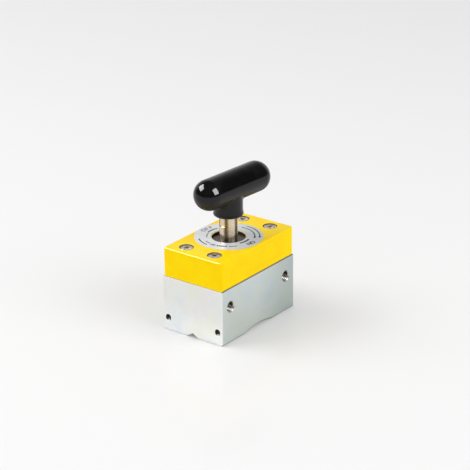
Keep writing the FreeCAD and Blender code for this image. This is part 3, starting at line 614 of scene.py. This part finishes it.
def printedWord(word, middle, foot, height):
    # letters stand on a circle with their tops outwards and read clockwise
    look = dialPrint
    step = height * look["spacing"] / (foot + height / 2)
    letters = []
    for index, letter in enumerate(word):
        turn = math.radians(middle) - (index - (len(word) - 1) / 2) * step
        bpy.ops.object.select_all(action="DESELECT")
        bpy.ops.object.text_add(rotation=(0, 0, turn - math.pi / 2), location=onDial(
            foot, turn, look["top"] + look["thickness"] / 2))
        sign = bpy.context.object
        sign.data.body = letter
        sign.data.align_x = "CENTER"
        sign.data.size = height * mm / look["capitals"]
        sign.data.offset = look["boldness"] * height * mm
        sign.data.extrude = look["thickness"] / 2 * mm
        bpy.ops.object.convert(target="MESH")
        letters.append(settle(bpy.context.object))
    return joined(letters, "dial_word_" + word.lower())


def printDial():
    look = dialPrint
    strokes = [printedStroke(*stroke) for stroke in look["strokes"]]
    for start, end, count, inner, outer, width in look["ticks"]:
        step = (end - start) / (count - 1)
        strokes += [printedTick(start + step * index, inner, outer, width)
                    for index in range(count)]
    finished(joined(strokes, "dial_marks"), darkInk, "block")
    for word, ink in zip(look["words"], (darkInk, greyInk)):
        finished(printedWord(*word), ink, "block")


printDial()
print("dial printed")


# ---- threads in the tapped holes

# mouth: how far from the middle the outermost turn ends; places: across and height
threads = {
    "side": {"core": 3.4, "pitch": 1.25, "ridge": 0.36, "turns": 5, "mouth": 24.7,
             "places": [(32.4, 27.2), (-32.4, 27.2)], "turned": (0, 180)},
    "end": {"core": 2.1, "pitch": 0.8, "ridge": 0.2, "turns": 7, "mouth": 41.9,
            "places": [(21.8, 10.0), (-21.8, 10.0)], "turned": (90, -90)}}
threadBuild = {"steps": 28, "sink": 0.02, "smooth": 35}  # per turn; into the wall; degrees


def threadRidge(name, look):
    # a triangle that points at the hole's axis, swept along X by a screw modifier;
    # its middle lies a third of its height above its foot, and its radius is two thirds
    core, pitch, deep, mouth = inMetres(look[key] for key in ("core", "pitch", "ridge", "mouth"))
    bpy.ops.object.select_all(action="DESELECT")
    bpy.ops.mesh.primitive_circle_add(vertices=3, radius=deep / 1.5, rotation=(0, 0, math.pi))
    ridge = settle(bpy.context.object, name)
    edit(ridge)
    bpy.ops.mesh.select_all(action="SELECT")
    bpy.ops.transform.resize(value=(pitch * 0.5 / deep, 1, 1), center_override=(0, 0, 0))
    outwards = core - deep / 3 + threadBuild["sink"] * mm
    bpy.ops.transform.translate(value=(mouth - pitch * look["turns"], outwards, 0))
    done()
    turns = ridge.modifiers.new("turns", "SCREW")
    turns.axis = "X"
    turns.screw_offset = pitch
    turns.iterations = look["turns"]
    turns.steps = turns.render_steps = threadBuild["steps"]
    bpy.ops.object.modifier_apply(modifier="turns")
    edit(ridge)
    bpy.ops.mesh.select_all(action="SELECT")
    bpy.ops.mesh.fill_holes(sides=3)
    bpy.ops.mesh.normals_make_consistent(inside=False)
    done()
    bpy.ops.object.shade_smooth_by_angle(angle=math.radians(threadBuild["smooth"]))
    return ridge


def cutThreads():
    for side, look in threads.items():
        model = threadRidge(side + "_thread", look)
        for turned in look["turned"]:
            for across, height in look["places"]:
                bpy.ops.object.select_all(action="DESELECT")
                model.select_set(True)
                bpy.context.view_layer.objects.active = model
                bpy.ops.object.duplicate()
                ridge = bpy.context.object
                ridge.rotation_euler.z = math.radians(turned)
                if side == "side":
                    ridge.location = (0, across * mm, height * mm)
                else:
                    ridge.location = (across * mm, 0, height * mm)
                face = {0: "right", 180: "left", 90: "back", -90: "front"}[turned]
                settle(ridge, "%s_thread_%s_%s" % (side, face, "plus" if across > 0 else "minus"))
                finished(ridge, threadMetal, "block")
        bpy.data.objects.remove(model)


cutThreads()
print("threads cut")


# ---- stage: floor, world, lamps, camera

white = (1.0, 1.0, 1.0, 1.0)
stageLook = {
    "floorSize": 14.0, "floorDrop": 0.02, "floor": (0.74, 0.74, 0.74, 1.0),  # metres, millimetres
    "gloss": 0.03, "glossRoughness": 0.12,
    # what the paper glows by, near and far, over a distance in metres behind the object
    "lift": (0.095, 0.065), "liftFade": (-0.1, 0.8), "behind": (-0.6, 0.8),
    "ambient": 0.68, "horizon": 0.92, "overhead": 0.035,
    # heights of a direction: where the table's level ends, where the backdrop does
    "tableEdge": (-0.01, 0.05), "fade": (0.20, 0.90),
    "backdrop": (-0.606, 0.795), "backdropEdge": (0.30, 0.70)}


def makeFloor():
    look = stageLook
    bpy.ops.object.select_all(action="DESELECT")
    bpy.ops.mesh.primitive_plane_add(size=look["floorSize"],
                                     location=(0, 0, -look["floorDrop"] * mm))
    floor = settle(bpy.context.object, "studio_floor")
    paper = bpy.data.materials.new("white_paper")
    paper.use_nodes = True
    board = Board(paper.node_tree)
    x, y = board.parts(board.node("ShaderNodeTexCoord", output="Object"))[:2]
    near, far = look["lift"]
    towardsX, towardsY = look["behind"]
    away = x * towardsX + y * towardsY  # distance behind the object, seen from the camera
    level = (near + away.between(*look["liftFade"]) * (far - near)) * board.seen()
    colour = board.node("ShaderNodeCombineXYZ", inputs=[level, level, level])
    matt = board.node("ShaderNodeBsdfDiffuse", inputs={"Color": look["floor"]})
    glow = board.node("ShaderNodeEmission", inputs={"Color": colour, "Strength": 1.0})
    shine = board.node("ShaderNodeBsdfGlossy", inputs={
        "Color": white, "Roughness": look["glossRoughness"]})
    matt = board.node("ShaderNodeMixShader", inputs=[look["gloss"], matt, shine])
    both = board.node("ShaderNodeAddShader", inputs=[matt, glow])
    board.node("ShaderNodeOutputMaterial", inputs={"Surface": both})
    floor.data.materials.append(paper)


def makeWorld():
    look = stageLook
    world = bpy.data.worlds.new("studio")
    bpy.context.scene.world = world
    world.use_nodes = True
    board = Board(world.node_tree)
    fill = board.node("ShaderNodeBackground", inputs={
        "Color": white, "Strength": look["ambient"]})
    across, along, upward = board.parts(board.node("ShaderNodeTexCoord", output="Generated"))
    # a white backdrop stands behind the object, the rest of the room is dark above the table
    backX, backY = look["backdrop"]
    behind = (across * backX + along * backY).between(*look["backdropEdge"])
    paper = behind * (1 - upward.between(*look["fade"]))
    dark = upward.between(*look["tableEdge"]) * (1 - paper)
    level = look["horizon"] + dark * (look["overhead"] - look["horizon"])
    shown = board.node("ShaderNodeBackground", inputs={"Color": white, "Strength": level})
    mixed = board.node("ShaderNodeMixShader", inputs=[board.seen(), fill, shown])
    board.node("ShaderNodeOutputWorld", inputs={"Surface": mixed})


# each gleam stands in front of a lamp, and only the named pieces mirror it; sizes in metres
lampAim = (0, 0, 0.06)
leftWay, rightWay, frontWay = (-0.62, -0.36, 0.70), (0.82, 0.10, 0.56), (-0.15, -0.95, 0.28)
lamps = {
    "softbox_left": {"towards": leftWay, "distance": 1.8, "size": (1.33, 0.86), "power": 14.0},
    "softbox_right": {"towards": rightWay, "distance": 1.8, "size": (1.13, 1.25), "power": 12.2},
    "front_fill": {"towards": frontWay, "distance": 1.8, "size": (1.6, 0.8), "power": 3.0,
                   "mirrored": False},
    "gleam_left": {"towards": leftWay, "distance": 1.7, "size": (1.256, 0.812), "power": 48.0,
                   "gleamOn": ["grip", "top_housing", "spindle"]},
    "gleam_right": {"towards": rightWay, "distance": 1.7, "size": (1.067, 1.18), "power": 60.0,
                    "gleamOn": ["grip"]},
    "gleam_front": {"towards": frontWay, "distance": 1.7, "size": (1.5, 0.76), "power": 12.0,
                    "gleamOn": ["pole_body"]},
}


def makeLamps():
    for name, lamp in lamps.items():
        away = Vector(lamp["towards"]).normalized()
        place = Vector(lampAim) + away * lamp["distance"]
        bpy.ops.object.select_all(action="DESELECT")
        bpy.ops.object.light_add(type="AREA", location=place)
        box = bpy.context.object
        box.name = name
        box.rotation_euler = away.to_track_quat("Z", "Y").to_euler()
        box.data.shape = "RECTANGLE"
        box.data.size, box.data.size_y = lamp["size"]
        box.data.energy = lamp["power"]
        box.visible_glossy = lamp.get("mirrored", True)
        if "gleamOn" in lamp:
            # only a reflection in the glossy parts
            box.visible_diffuse = False
            shiny = bpy.data.collections.new(name + "_on")
            for part in lamp["gleamOn"]:
                shiny.objects.link(nodes[part])
            box.light_linking.receiver_collection = shiny


cameraPlace = {"azimuth": 37.32, "elevation": 22.69, "roll": -0.64, "distance": 1.5,
               "aim": (-0.01017, 0.02069, 0.05411), "lens": 160.5, "sensor": 36.0,
               "clip": (0.05, 50.0)}


def makeCamera():
    place = cameraPlace
    azimuth, elevation, roll = (
        math.radians(place[key]) for key in ("azimuth", "elevation", "roll"))
    flat = math.cos(elevation)
    back = Vector((math.sin(azimuth) * flat, -math.cos(azimuth) * flat, math.sin(elevation)))
    level = Vector((math.cos(azimuth), math.sin(azimuth), 0))
    upward = back.cross(level)
    right = level * math.cos(roll) + upward * math.sin(roll)
    upward = back.cross(right)
    bpy.ops.object.select_all(action="DESELECT")
    bpy.ops.object.camera_add()
    camera = bpy.context.object
    camera.data.sensor_width = place["sensor"]
    camera.data.lens = place["lens"]
    camera.data.clip_start, camera.data.clip_end = place["clip"]
    turn = Matrix((right, upward, back)).transposed().to_4x4()
    camera.matrix_world = Matrix.Translation(Vector(place["aim"]) + back * place["distance"]) @ turn
    bpy.context.scene.camera = camera


makeFloor()
makeWorld()
makeLamps()
makeCamera()
bpy.context.scene.view_settings.view_transform = "Standard"
print("stage set")
